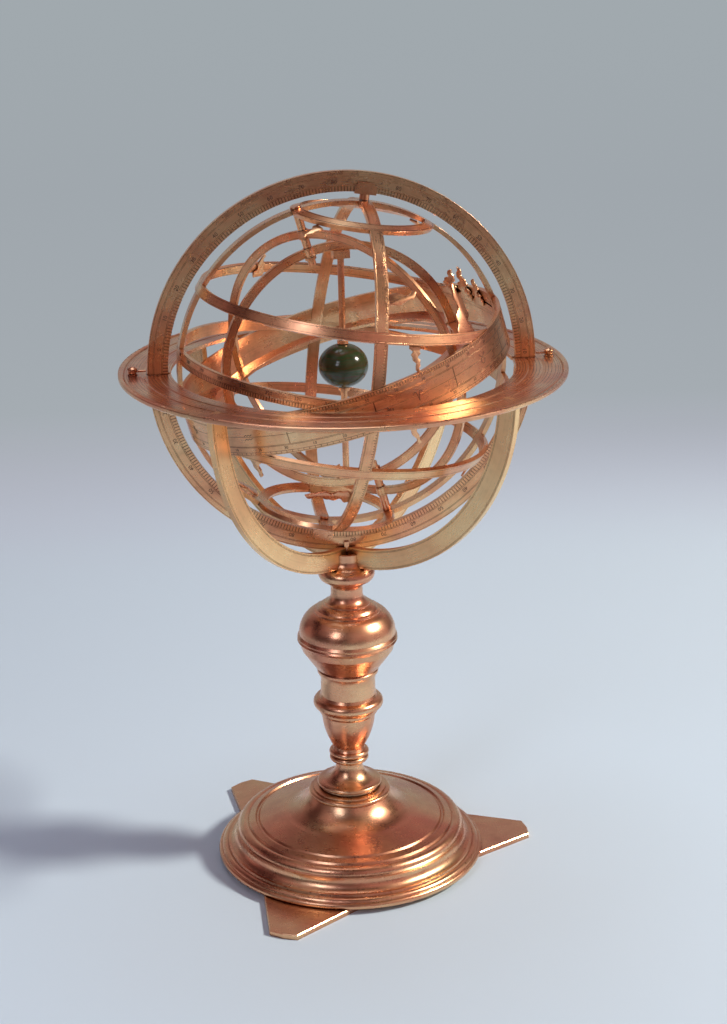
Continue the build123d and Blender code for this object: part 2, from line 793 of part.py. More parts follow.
for name, (latitude, width) in parallels.items():
    tools = [
        lower_part(sky, width, latitude, under_parallels, crossing)
        for crossing in (equinox_slab, solstice_slab)
    ]
    if name in crossed_by_zodiac:
        tools.append(upper_part(sky, width, latitude, under_zodiac_edge, zodiac_slab))
    else:
        tools += ecliptic_holes
    parallel = cut_away(band(sky, width, latitude), tools)
    parallel.part.label = name
    export_step(parallel.part, f"parts/{name}.step")

zodiac_tools = [
    lower_part(ecliptic, zodiac_width, 0, under_zodiac, crossing)
    for crossing in (equinox_slab, solstice_slab)
]
zodiac_tools += [
    lower_part(ecliptic, zodiac_width, 0, under_zodiac_edge, tropic_slab(*parallels[name]))
    for name in crossed_by_zodiac
]
zodiac_band = cut_away(band(ecliptic, zodiac_width), zodiac_tools)
zodiac_band.part.label = "zodiac_band"
export_step(zodiac_band.part, "parts/zodiac_band.step")

pin_head_radius = 2.3
pin_head_thickness = 1.3
for name, direction in poles:
    head_top = cage_inner - 0.15
    shank = peg(direction, head_top - 0.5, pin_tip, pole_pin_radius)
    head = peg(direction, head_top - pin_head_thickness, head_top, pin_head_radius)
    with BuildPart() as pole_pin:
        add([shank, head])
    pole_pin.part.label = f"pole_pin_{name}"
    export_step(pole_pin.part, f"parts/pole_pin_{name}.step")

# Ecliptic pins, with a head outside the cage, a knob inside and collars that space the circles

head_seat = cage_outer + 0.1
head_height = 1.1
knob_top = earth_inner - slide_gap
knob_height = 1.6
for name, direction in ecliptic_poles:
    shank = peg(direction, ecliptic_pin_end, head_seat + 0.2, ecliptic_pin_radius)
    head = peg(direction, head_seat, head_seat + head_height, ecliptic_head_radius)
    knob_end = peg(direction, ecliptic_pin_end, knob_top - knob_height + 0.1, ecliptic_knob_radius - 0.9)
    with BuildPart() as ecliptic_pin:
        add([shank, head, knob_end])
        with BuildSketch(radial_plane(direction, knob_top)):
            RegularPolygon(ecliptic_knob_radius, 6)
        extrude(amount=-knob_height)
    ecliptic_pin.part.label = f"ecliptic_pin_{name}"
    export_step(ecliptic_pin.part, f"parts/ecliptic_pin_{name}.step")

collar_spans = (
    (earth_outer + slide_gap, latitude_inner - slide_gap),
    (latitude_outer + slide_gap, cage_inner - 0.1),
)
collars = [
    peg(direction, low, high, ecliptic_collar_radius)
    for name, direction in ecliptic_poles
    for low, high in collar_spans
]
collar_bores = [
    peg(direction, earth_outer - 2, cage_outer, ecliptic_pin_radius + fixed_gap)
    for name, direction in ecliptic_poles
]
ecliptic_collars = cut_away(collars, collar_bores)
ecliptic_collars.part.label = "ecliptic_collars"
export_step(ecliptic_collars.part, "parts/ecliptic_collars.step")

# Circles that turn on the ecliptic axis


def pivoted_ring(plane, inner, outer, thickness, slots=()):
    """A flat ring with a round boss at each end of the ecliptic axis, bored for the pins."""
    thick_ring = flat_ring(plane, inner, outer, 2 * ecliptic_boss_radius + 2)
    bosses = [
        common(peg(direction, inner - 1, outer + 1, ecliptic_boss_radius), thick_ring)
        for name, direction in ecliptic_poles
    ]
    bores = [
        peg(direction, inner - 2, outer + 2, ecliptic_pin_radius + running_gap)
        for name, direction in ecliptic_poles
    ]
    return cut_away([flat_ring(plane, inner, outer, thickness)] + bosses, bores + list(slots))


latitude_circle = pivoted_ring(latitude_plane, latitude_inner, latitude_outer, latitude_thickness)
latitude_circle.part.label = "latitude_circle"
export_step(latitude_circle.part, "parts/latitude_circle.step")

# The earth's circle and the flat sun circle are halved together at the ecliptic

sun_lap = (earth_inner + earth_outer) / 2
sun_slot = flat_ring(ecliptic, sun_lap - lap_gap / 2, sun_outer + 1, sun_thickness + 2 * fixed_gap)
earth_circle = pivoted_ring(earth_plane, earth_inner, earth_outer, earth_thickness, [sun_slot])
earth_circle.part.label = "earth_circle"
export_step(earth_circle.part, "parts/earth_circle.step")

whole_sun = flat_ring(ecliptic, sun_inner, sun_outer, sun_thickness)
earth_slot = flat_ring(earth_plane, sun_inner - 2, sun_lap + lap_gap / 2, earth_thickness + 2 * fixed_gap)
sun_circle = cut_away(whole_sun, earth_slot)
sun_circle.part.label = "sun_circle"
export_step(sun_circle.part, "parts/sun_circle.step")

# The sun: a rayed disc that stands on the sun circle and faces the earth

sun_longitude = 163.0
sun_seat = 66.0
sun_disc_radius = 3.6
ray_count = 12
sun_side = turned(ecliptic, sun_longitude)
sun_face = Plane(origin=centre + sun_side.x_dir * sun_seat, x_dir=sun_side.y_dir, z_dir=-sun_side.x_dir)
sun_rise = sun_thickness / 2 + sun_disc_radius + 0.6

with BuildPart() as sun_disc:
    up = 1 if sun_face.y_dir.dot(ecliptic_pole) > 0 else -1
    with BuildSketch(sun_face):
        with Locations((0, up * sun_rise)):
            Circle(sun_disc_radius - 0.6)
            with PolarLocations(sun_disc_radius - 0.9, ray_count):
                Triangle(c=1.5, b=2.2, a=2.2, rotation=-90)
        with Locations((0, up * (sun_thickness / 2 + 1.0))):
            Rectangle(2.2, 2.0)
    extrude(amount=0.6, both=True)
sun_disc.part.label = "sun_disc"
export_step(sun_disc.part, "parts/sun_disc.step")

# Earth rod, its end blocks, the ball and its collars

rod_direction = ecliptic_pole.rotate(about(earth_plane.z_dir), rod_lean)
rod_plane = Plane(origin=centre, x_dir=earth_plane.z_dir, z_dir=rod_direction)
rod_end = earth_inner - 0.15
block_half = 2.4
block_length = 9.0
block_depth = 4.4

with BuildPart() as earth_rod:
    with BuildSketch(rod_plane):
        Circle(rod_radius)
    extrude(amount=rod_end, both=True)
earth_rod.part.label = "earth_rod"
export_step(earth_rod.part, "parts/earth_rod.step")

circle_room = flat_ring(earth_plane, earth_inner - 0.1, earth_outer, 4 * block_half)
with BuildPart() as rod_blocks:
    for side in (-1, 1):
        with BuildSketch(rod_plane.offset(side * (rod_end - block_depth))):
            Rectangle(2 * block_half, block_length)
        extrude(amount=side * block_depth)
    with BuildSketch(rod_plane):
        Circle(rod_radius + fixed_gap)
    extrude(amount=earth_inner + 2, both=True, mode=Mode.SUBTRACT)
    add(circle_room, mode=Mode.SUBTRACT)
rod_blocks.part.label = "rod_blocks"
export_step(rod_blocks.part, "parts/rod_blocks.step")

with BuildPart() as earth_ball:
    with BuildSketch(section_of(rod_plane)):
        Ellipse(ball_radius, ball_half_height)
        with Locations((-ball_radius, 0)):
            Rectangle(2 * (ball_radius + rod_radius + fixed_gap), 4 * ball_half_height, mode=Mode.SUBTRACT)
    revolve(axis=axis_of(rod_plane))
earth_ball.part.label = "earth_ball"
export_step(earth_ball.part, "parts/earth_ball.step")

earth_collar_height = 1.8
with BuildPart() as earth_collars:
    for side in (-1, 1):
        with BuildSketch(rod_plane.offset(side * (ball_half_height + 0.1))):
            Circle(rod_radius + 1.2)
            Circle(rod_radius + fixed_gap, mode=Mode.SUBTRACT)
        extrude(amount=side * earth_collar_height)
earth_collars.part.label = "earth_collars"
export_step(earth_collars.part, "parts/earth_collars.step")

# Star pointers: thin flame-shaped tongues soldered under the rings

pointer_thickness = 1.1
pointer_seat = cage_inner - 0.15


def pointer(longitude, latitude, heading, length, width, lean):
    """A tongue from a point on the sky, heading round from north, its tip leaning sideways."""
    turn, rise = radians(longitude), radians(latitude)
    out = (sky.x_dir * cos(turn) + sky.y_dir * sin(turn)) * cos(rise) + sky.z_dir * sin(rise)
    north = (sky.z_dir - out * sin(rise)).normalized()
    along = north.rotate(about(out), -heading)
    half = width / 2
    sagitta = half**2 / (2 * cage_inner)
    plane = Plane(origin=centre + out * (pointer_seat - sagitta), x_dir=along, z_dir=out)
    foot = 2.5
    neck = 0.12 * length
    middle = (neck + length) / 2
    with BuildPart() as tongue:
        with BuildSketch(plane):
            with BuildLine():
                Polyline((neck, -half), (-foot, -half), (-foot, half), (neck, half))
                ThreePointArc((neck, half), (middle, half / 2 + 0.25 * lean), (length, lean))
                ThreePointArc((neck, -half), (middle, -half / 2 + 0.15 * lean), (length, lean))
            make_face()
        extrude(amount=-pointer_thickness)
    return tongue.part


pointer_groups = {
    "star_pointers_north": (
        (-47, 63, 200, 9, 5, 2),
        (-30, 69, -25, 8, 5, -2),
        (120, 63, 170, 10, 5, 2),
        (38, 26, 2, 25, 7, 3),
        (0, 36, 80, 19, 8, 3),
    ),
    "star_pointers_middle": (
        (13, 21, 175, 12, 4, 1),
        (124, 25.5, -10, 14, 11, 3),
        (114.5, 25.5, 0, 17, 12, -3),
        (105, 25.5, 12, 13, 10, 2),
        (14, -2, 170, 15, 6, 3),
        (-150, 22, 10, 12, 6, 2),
    ),
    "star_pointers_south": (
        (0, -37, -85, 26, 9, 3),
        (-100, -62, 10, 16, 7, -2),
        (60, -25.5, 175, 12, 6, 2),
        (-42, -24, 185, 14, 7, 3),
        (160, -62, 20, 12, 6, 2),
    ),
}

for name, places in pointer_groups.items():
    tongues = [pointer(*place) for place in places]
    with BuildPart() as star_pointers:
        add(tongues)
    star_pointers.part.label = name
    export_step(star_pointers.part, f"parts/{name}.step")
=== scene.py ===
import math

import bpy
from mathutils import Matrix, Quaternion, Vector


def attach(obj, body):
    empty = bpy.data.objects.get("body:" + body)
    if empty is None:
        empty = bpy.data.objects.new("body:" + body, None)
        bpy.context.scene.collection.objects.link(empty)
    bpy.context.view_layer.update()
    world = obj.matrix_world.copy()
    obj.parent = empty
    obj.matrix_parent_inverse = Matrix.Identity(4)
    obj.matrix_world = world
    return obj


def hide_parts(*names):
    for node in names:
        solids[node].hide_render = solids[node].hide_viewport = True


# Table armillary sphere in gilt brass, dressed for a studio picture.
# Metres, +Z up, the front faces -Y. The solids come from the frame and stay where they are.

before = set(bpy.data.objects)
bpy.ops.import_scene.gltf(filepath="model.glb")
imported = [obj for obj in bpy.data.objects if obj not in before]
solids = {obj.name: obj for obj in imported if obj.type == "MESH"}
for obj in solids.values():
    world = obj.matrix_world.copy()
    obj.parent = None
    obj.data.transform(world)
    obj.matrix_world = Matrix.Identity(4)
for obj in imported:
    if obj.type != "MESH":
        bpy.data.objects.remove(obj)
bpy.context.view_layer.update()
print("frame loaded,", len(solids), "solids")

mm = 0.001

sphere = {
    "centre": Vector((0, 0, 288 * mm)),
    "tilt": 7.8,              # the pole leans from upright towards +X, degrees
    "turn": -87.0,            # the spring equinox is turned this far round the pole
    "obliquity": 23.5,
    "latitudeTurn": 132.4,    # rest angles of the two upright circles on the ecliptic axis
    "earthTurn": 8.0,
    "rodLean": -15.5,
    "armTurn": 47.0,
    "rim": 88.5,              # radius of the outer faces of the cage, millimetres
}


# Axes of the rings. Each is a 3x3 matrix whose columns are the ring's own X, Y and axis.

def axesFrom(xAxis, zAxis):
    xAxis = Vector(xAxis).normalized()
    zAxis = Vector(zAxis).normalized()
    return Matrix((xAxis, zAxis.cross(xAxis), zAxis)).transposed()


def turnedBy(vector, axis, degrees):
    return Matrix.Rotation(math.radians(degrees), 3, axis) @ Vector(vector)


def armAxes(degrees):         # of an arm of the cradle, turned from the meridian's plane
    turn = math.radians(degrees)
    return axesFrom((math.cos(turn), math.sin(turn), 0), (math.sin(turn), -math.cos(turn), 0))


tilt = math.radians(sphere["tilt"])
pole = Vector((math.sin(tilt), 0, math.cos(tilt)))
equinox = turnedBy((math.cos(tilt), 0, -math.sin(tilt)), pole, sphere["turn"])
solstice = pole.cross(equinox)
eclipticPole = turnedBy(pole, equinox, sphere["obliquity"])

skyAxes = axesFrom(equinox, pole)
zodiacAxes = axesFrom(equinox, eclipticPole)
equinoxAxes = axesFrom(equinox, solstice)
solsticeAxes = axesFrom(solstice, equinox)
meridianAxes = axesFrom((0, 0, 1), (0, -1, 0))
uprightAxes = axesFrom((1, 0, 0), (0, 0, 1))
latitudeAxes = axesFrom(eclipticPole, turnedBy(equinox, eclipticPole, sphere["latitudeTurn"]))
earthAxes = axesFrom(eclipticPole, turnedBy(equinox, eclipticPole, sphere["earthTurn"]))
rodAxes = axesFrom(
    earthAxes.col[2], turnedBy(eclipticPole, earthAxes.col[2], sphere["rodLean"])
)
upperArmAxes = armAxes(sphere["armTurn"])
lowerArmAxes = armAxes(-sphere["armTurn"])


# Materials

def hexColour(text):          # sRGB hex to linear RGBA
    channels = [int(text[i:i + 2], 16) / 255 for i in (1, 3, 5)]
    linear = [c / 12.92 if c <= 0.04045 else ((c + 0.055) / 1.055) ** 2.4 for c in channels]
    return (*linear, 1.0)


def addNode(tree, kind, settings, links=()):
    node = tree.nodes.new("ShaderNode" + kind)
    for key, value in settings.items():
        if isinstance(key, str) and hasattr(node, key):
            setattr(node, key, value)
        else:
            node.inputs[key].default_value = value
    for key, source in dict(links).items():
        socket = source.outputs[0] if hasattr(source, "outputs") else source
        tree.links.new(socket, node.inputs[key])
    return node


def fillStops(elements, stops):       # stops are (place, hex colour), in order
    elements[0].position, elements[0].color = stops[0][0], hexColour(stops[0][1])
    elements[1].position, elements[1].color = stops[-1][0], hexColour(stops[-1][1])
    for place, colour in stops[1:-1]:
        elements.new(place).color = hexColour(colour)


def newMaterial(name):
    material = bpy.data.materials.new(name)
    material.use_nodes = True
    material.node_tree.nodes.clear()
    return material, material.node_tree


# Gilt brass: cast, filed and fire gilt, then rubbed for four centuries. The gilding is warm and
# reddish, thin places are paler and yellow, and dirt in the cuts is a dark red brown. Inner
# corners are darkened with painted shade in the same dark red brown.
giltBrass = {
    "gold": "#F0BA8B",
    "copper": "#DF9877",
    "pale": "#F8DAA8",
    # dark red brown of the dirt, also used as the painted shade in inner corners
    "dirtAndShade": "#4A1A14",
    "roughness": (0.15, 0.30),
    "patch": 34 * mm,         # size of a patch of wear
    "wear": (0.28, 0.52, 0.76),   # where the patches are copper, gold and pale
    "streak": 0.8 * mm,       # file marks are really about 0.1 mm apart, too fine to show
    "streakTurn": 1.2,        # marks in a radian round the ring: they are long that way
    "streakDepth": 0.30,
    "blotch": 0.3,            # size of a brown blotch, as a share of a patch
    "blotchMarks": 0.45,      # how much the brown film follows the marks
    "film": (0.74, 1.10),     # where the film starts to stain, and where it stains most
    "grime": 0.45,            # share of the deepest stain
    # painted shade: inner corners found by ambient occlusion are darkened in the dirt colour
    "cornerShadeReach": 2.2 * mm,       # reach of the painted shade out of inner corners
    "cornerShadeOpen": (0.80, 0.35),   # how open a corner is where its painted shade starts, and where it is full
    "cornerShadeDepth": 0.85,
    "polish": (0.3, 0.75),    # film where the metal is smoothest, and where it is roughest
    "cutFill": (0.5, 0.85),   # least and most dirt left in the engraving
    "cutBlotch": (0.3, 0.6),  # blotches where it is least, and where it is most
    "relief": 0.12 * mm,      # depth of a cut
    "reliefStrength": 0.35,
    "edge": 0.2 * mm,         # edges rubbed round
}

# The arms keep thick, smooth gilding, so they are paler and less worn.
paleGilt = {"gold": "#FFD29A", "copper": "#F2B888", "pale": "#FFE0AC", "grime": 0.25, "patch": 60 * mm}

# Turned on the lathe and burnished: rings of fine marks and a clear reflection.
turnedBrass = {
    "gold": "#E9B189",
    "copper": "#D99176",
    "pale": "#F3D0A0",
    "roughness": (0.16, 0.30),
    "streak": 0.6 * mm,
    "grime": 0.3,
}

# The hidden screws and the tie rod are plain steel, a little rusty.
paleSteel = {"gold": "#B9B4AC", "copper": "#8E7F74", "pale": "#CFCBC4", "roughness": (0.3, 0.5)}


# Angle, radius and height of a point, seen from a ring's own axes
def ringCoordinates(tree, centre, axes):
    objectPoint = addNode(tree, "TexCoord", {})
    ownPoint = addNode(
        tree,
        "Mapping",
        {"vector_type": "TEXTURE", "Location": centre, "Rotation": axes.to_euler("XYZ")},
        {"Vector": objectPoint.outputs["Object"]},
    )
    parts = addNode(tree, "SeparateXYZ", {}, {0: ownPoint})
    flat = addNode(tree, "CombineXYZ", {}, {0: parts.outputs[0], 1: parts.outputs[1]})
    radius = addNode(tree, "VectorMath", {"operation": "LENGTH"}, {0: flat})
    turn = addNode(
        tree, "Math", {"operation": "ARCTAN2"}, {0: parts.outputs[1], 1: parts.outputs[0]}
    )
    degrees = addNode(tree, "Math", {"operation": "MULTIPLY", 1: 180 / math.pi}, {0: turn})
    return {
        "point": ownPoint.outputs[0],
        "angle": degrees.outputs[0],
        "radius": radius.outputs["Value"],
        "height": parts.outputs[2],
        "turn": turn.outputs[0],      # the angle again, in radians
    }


# 1 in the engraved lines and ticks, 0 on the plain metal
def engravedMask(tree, place, engraving):
    across = place[engraving["across"]]
    cuts = []
    for position in engraving["lines"]:
        cuts.append(addNode(
            tree,
            "Math",
            {"operation": "COMPARE", 1: position * mm, 2: engraving["line"] * mm},
            {0: across},
        ))
    for period, width, low, high in engraving.get("ticks", ()):
        step = addNode(tree, "Math", {"operation": "DIVIDE", 1: period}, {0: place["angle"]})
        gap = addNode(tree, "Math", {"operation": "PINGPONG", 1: 0.5}, {0: step})
        dash = addNode(tree, "Math", {"operation": "LESS_THAN", 1: width / 2 / period}, {0: gap})
        span = addNode(
            tree,
            "Math",
            {"operation": "COMPARE", 1: (low + high) / 2 * mm, 2: (high - low) / 2 * mm},
            {0: across},
        )
        cuts.append(addNode(tree, "Math", {"operation": "MULTIPLY"}, {0: dash, 1: span}))
    mask = cuts[0]
    for cut in cuts[1:]:
        mask = addNode(tree, "Math", {"operation": "MAXIMUM"}, {0: mask, 1: cut})
    if "face" in engraving:       # the cuts are on one face only
        key, limit = engraving["face"]
        side = addNode(tree, "Math", {"operation": "GREATER_THAN", 1: limit * mm}, {0: place[key]})
        mask = addNode(tree, "Math", {"operation": "MULTIPLY"}, {0: mask, 1: side})
    return mask


# Patches of wear, from coppery red to pale gold
def wornGilding(tree, place, look):
    patches = addNode(
        tree,
        "TexNoise",
        {"Scale": 1 / look["patch"], "Detail": 4.0, "Roughness": 0.5, "Distortion": 0.3},
        {"Vector": place["point"]},
    )
    gilding = addNode(tree, "ValToRGB", {}, {0: patches})
    colours = (look["copper"], look["gold"], look["pale"])
    fillStops(gilding.color_ramp.elements, list(zip(look["wear"], colours)))
    return gilding


# Marks of the file or the lathe: long along the ring, short across it
def toolMarks(tree, place, grain, look):
    wide, deep = {"along": ("height", "radius"), "turned": ("radius", "height")}[grain]
    slow = addNode(
        tree, "Math", {"operation": "MULTIPLY", 1: look["streakTurn"]}, {0: place["turn"]}
    )
    fastWide = addNode(tree, "Math", {"operation": "DIVIDE", 1: look["streak"]}, {0: place[wide]})
    fastDeep = addNode(tree, "Math", {"operation": "DIVIDE", 1: look["streak"]}, {0: place[deep]})
    stretched = addNode(tree, "CombineXYZ", {}, {0: slow, 1: fastWide, 2: fastDeep})
    return addNode(
        tree, "TexNoise", {"Scale": 1.0, "Detail": 3.0, "Roughness": 0.7}, {"Vector": stretched}
    )


# How far the brown film and the painted shade in inner corners hide the gilding
def grimeCover(tree, film, look):
    start, full = look["film"]
    thin = addNode(
        tree,
        "MapRange",
        {"From Min": start, "From Max": full, "To Min": 0.0, "To Max": look["grime"]},
        {"Value": film},
    )
    # painted shade: ambient occlusion finds the inner corners, which are then darkened in the dirt
    # colour
    cornerOcclusion = addNode(tree, "AmbientOcclusion", {"samples": 4, "Distance": look["cornerShadeReach"]})
    start, full = look["cornerShadeOpen"]
    paintedCornerShade = addNode(
        tree,
        "MapRange",
        {"From Min": start, "From Max": full, "To Min": 0.0, "To Max": look["cornerShadeDepth"]},
        {"Value": cornerOcclusion.outputs["AO"]},
    )
    return addNode(tree, "Math", {"operation": "MAXIMUM"}, {0: thin, 1: paintedCornerShade})


# Brass whose file or lathe marks and engraving follow a ring's own axes
def brassMaterial(name, axes, grain, engraving, look):
    look = {**giltBrass, **look}
    dirtAndShade = hexColour(look["dirtAndShade"])
    material, tree = newMaterial(name)
    place = ringCoordinates(tree, sphere["centre"], axes)
    gilding = wornGilding(tree, place, look)
    marks = toolMarks(tree, place, grain, look)
    blotches = addNode(
        tree,
        "TexNoise",
        {"Scale": 1 / (look["patch"] * look["blotch"]), "Detail": 7.0, "Roughness": 0.7},
        {"Vector": place["point"]},
    )
    film = addNode(
        tree, "Math", {"operation": "MULTIPLY_ADD", 1: look["blotchMarks"]}, {0: marks, 2: blotches}
    )
    # the brown film stain and the painted corner shade, both in the dirt colour
    stainAndShade = grimeCover(tree, film, look)
    stainedAndShaded = addNode(tree, "Mix", {"data_type": "RGBA", 7: dirtAndShade}, {0: stainAndShade, 6: gilding})
    surface = stainedAndShaded.outputs[2]
    clean, dull = look["polish"]
    smooth, rough = look["roughness"]
    roughness = addNode(
        tree,
        "MapRange",
        {"From Min": clean, "From Max": dull, "To Min": smooth, "To Max": rough},
        {"Value": film},
    )
    relief = addNode(tree, "Math", {"operation": "MULTIPLY", 1: look["streakDepth"]}, {0: marks})
    if engraving:
        cuts = engravedMask(tree, place, engraving)
        low, high = look["cutBlotch"]
        least, most = look["cutFill"]
        fill = addNode(
            tree,
            "MapRange",
            {"From Min": low, "From Max": high, "To Min": least, "To Max": most},
            {"Value": blotches},
        )
        inked = addNode(tree, "Math", {"operation": "MULTIPLY"}, {0: cuts, 1: fill})
        filled = addNode(tree, "Mix", {"data_type": "RGBA", 7: dirtAndShade}, {0: inked, 6: surface})
        surface = filled.outputs[2]
        relief = addNode(tree, "Math", {"operation": "SUBTRACT"}, {0: relief, 1: cuts})
    softEdge = addNode(tree, "Bevel", {"samples": 4, "Radius": look["edge"]})
    bump = addNode(
        tree,
        "Bump",
        {"Strength": look["reliefStrength"], "Distance": look["relief"]},
        {"Height": relief, "Normal": softEdge},
    )
    shader = addNode(
        tree,
        "BsdfPrincipled",
        {"Metallic": 1.0},
        {"Base Color": surface, "Roughness": roughness, "Normal": bump},
    )
    addNode(tree, "OutputMaterial", {}, {"Surface": shader})
    return material


def dress(names, material):
    for name in names:
        mesh = solids[name].data
        mesh.materials.clear()
        mesh.materials.append(material)


# Rings and their engraving, in millimetres in each ring's own axes. Lines are positions across
# the ring, line is half the width of one, and ticks are (degrees apart, width in degrees, from,
# to). Face names a coordinate and the value past which the metal is cut.

cageFace = ("radius", 87.4)

meridianScale = {
    "across": "radius",
    "lines": (95.7, 96.3, 100.3, 100.8, 103.1),
    "line": 0.11,
    "ticks": ((1, 0.26, 92.9, 95.7), (5, 0.26, 95.7, 96.3)),
}
equatorScale = {
    "across": "height",
    "lines": (-2.9, -0.9, -0.4, 2.8),
    "line": 0.11,
    "ticks": ((1, 0.3, -2.9, -0.9), (5, 0.3, -0.9, -0.4)),
    "face": cageFace,
}
zodiacScale = {
    "across": "height",
    "lines": (-9.9, -8.7, -5.9, -5.4, 0.0, 4.9, 5.4, 8.1, 8.6, 9.9),
    "line": 0.11,
    "ticks": ((1, 0.3, 8.6, 9.9), (5, 0.3, 8.1, 8.6), (30, 0.4, -5.4, 4.9), (2, 0.2, -9.9, -8.7)),
    "face": cageFace,
}
armBorder = {"across": "radius", "lines": (102.7, 103.2, 111.7, 112.2), "line": 0.09}
colureBorder = {
    "across": "height",
    "lines": (-2.7, -2.3, 2.3, 2.7),
    "line": 0.09,
    "ticks": ((1, 0.24, 1.5, 2.3), (5, 0.24, 0.9, 2.3)),
    "face": cageFace,
}
parallelBorder = {
    "across": "height",
    "lines": (33.5, 37.0, -33.5, -37.0, 80.4, 82.0, -80.4, -82.0),
    "line": 0.09,
}
circleBorder = {"across": "radius", "lines": (62.6, 66.1, 72.6, 75.9), "line": 0.09}
horizonGrooves = {
    "across": "radius",
    "lines": (92.4, 93.6, 95.2, 96.6, 100.8, 102.4, 104.2, 108.6, 110.4, 112.4, 113.8, 114.8),
    "line": 0.13,
    "face": ("height", -0.6),
}

# Each row is a material, the axes and the marks it follows, its engraving, what differs from plain
# gilt brass, and the solids that wear it.
dressings = (
    ("giltBrassMeridian", meridianAxes, "turned", meridianScale, {}, ["meridian_ring"]),
    ("giltBrassEquator", skyAxes, "along", equatorScale, {}, ["equator_ring"]),
    ("giltBrassZodiac", zodiacAxes, "along", zodiacScale, {}, ["zodiac_band"]),
    ("giltBrassEquinoxColure", equinoxAxes, "along", colureBorder, {}, ["colure_equinox"]),
    ("giltBrassSolsticeColure", solsticeAxes, "along", colureBorder, {}, ["colure_solstice"]),
    ("giltBrassParallels", skyAxes, "along", parallelBorder, {},
     ["tropic_cancer", "tropic_capricorn", "arctic_circle", "antarctic_circle"]),
    ("giltBrassPointers", skyAxes, "along", None, {},
     ["star_pointers_north", "star_pointers_middle", "star_pointers_south"]),
    ("giltBrassLatitude", latitudeAxes, "turned", circleBorder, {}, ["latitude_circle"]),
    ("giltBrassEarthCircle", earthAxes, "turned", circleBorder, {}, ["earth_circle"]),
    ("giltBrassSunCircle", zodiacAxes, "turned", None, {}, ["sun_circle", "sun_disc"]),
    ("giltBrassRod", rodAxes, "along", None, {}, ["earth_rod", "rod_blocks", "earth_collars"]),
    ("giltBrassPins", zodiacAxes, "along", None, {},
     ["ecliptic_pin_north", "ecliptic_pin_south", "ecliptic_collars"]),
    ("paleGiltUpperArm", upperArmAxes, "turned", armBorder, paleGilt, ["cradle_arc_upper"]),
    ("paleGiltLowerArm", lowerArmAxes, "turned", armBorder, paleGilt, ["cradle_arc_lower"]),
    ("giltBrassClips", skyAxes, "along", None, {},
     ["pole_clip_north", "pole_clip_south", "clip_rivets", "pole_pin_north", "pole_pin_south",
      "meridian_fork"]),
    ("turnedBrassHorizon", uprightAxes, "turned", horizonGrooves, turnedBrass,
     ["horizon_ring", "lock_knob_left", "lock_knob_right", "lock_finger_left", "lock_finger_right"]),
    ("turnedBrassPillar", uprightAxes, "turned", None, turnedBrass,
     ["base_dish", "pillar_foot", "pillar_vase", "pillar_bulb", "pillar_cup", "toe_right",
      "toe_back", "toe_front"]),
    ("steelScrews", uprightAxes, "turned", None, paleSteel,
     ["tie_rod", "tie_washer", "tie_nut", "toe_screws"]),
)
for name, axes, grain, engraving, look, names in dressings:
    dress(names, brassMaterial(name, axes, grain, engraving, look))


# The earth: a ball of banded green stone, turned and polished, so it gives a sharp highlight.
earthStone = {
    "stops": ((0.30, "#161A12"), (0.45, "#2B4426"), (0.58, "#45301F"), (0.74, "#5C7342")),
    "band": 1.1 * mm,         # thickness of a band
    "bandScale": 0.8,
    "warp": 6 * mm,           # how far the bands wander
    "warpScale": 90.0,        # in a metre, so they wander every 11 mm
    "roughness": 0.16,
    "ior": 1.5,
}


def stoneMaterial(name):
    material, tree = newMaterial(name)
    place = ringCoordinates(tree, sphere["centre"], rodAxes)
    warp = addNode(
        tree,
        "TexNoise",
        {"Scale": earthStone["warpScale"], "Detail": 4.0},
        {"Vector": place["point"]},
    )
    shifted = addNode(
        tree, "Math", {"operation": "MULTIPLY_ADD", 1: earthStone["warp"]}, {0: warp, 2: place["height"]}
    )
    layers = addNode(tree, "Math", {"operation": "DIVIDE", 1: earthStone["band"]}, {0: shifted})
    line = addNode(tree, "CombineXYZ", {}, {2: layers})
    bands = addNode(
        tree,
        "TexNoise",
        {"Scale": earthStone["bandScale"], "Detail": 6.0, "Roughness": 0.7},
        {"Vector": line},
    )
    colour = addNode(tree, "ValToRGB", {}, {0: bands})
    fillStops(colour.color_ramp.elements, earthStone["stops"])
    shader = addNode(
        tree,
        "BsdfPrincipled",
        {"Roughness": earthStone["roughness"], "IOR": earthStone["ior"]},
        {"Base Color": colour},
    )
    addNode(tree, "OutputMaterial", {}, {"Surface": shader})
    return material


dress(["earth_ball"], stoneMaterial("bandedGreenStone"))
print("solids dressed")


# New pieces

# A matrix that puts a flat shape at a spot, with its own X, Y and Z along three directions
def placeAt(spot, along, top, out):
    return Matrix.Translation(spot) @ Matrix((along, top, out)).transposed().to_4x4()


# A curve object through flat points, and its one spline
def flatCurve(kind, points, unit):
    bpy.ops.curve.primitive_nurbs_path_add()
    curve = bpy.context.object.data
    curve.splines.clear()
    spline = curve.splines.new(kind)
    spline.points.add(len(points) - 1)
    for spot, (x, y) in zip(spline.points, points):
        spot.co = (x * unit, y * unit, 0, 1)
    return curve, spline


# The selected curve or text, made a mesh and then put in its place
def asMesh(place):
    bpy.ops.object.convert(target="MESH")
    shape = bpy.context.object
    shape.data.transform(place)
    return shape


joining = {
    "seam": 0.002 * mm,       # points nearer than this are one, which closes the seams
    "softAngle": 50,          # degrees up to which an edge looks round
}


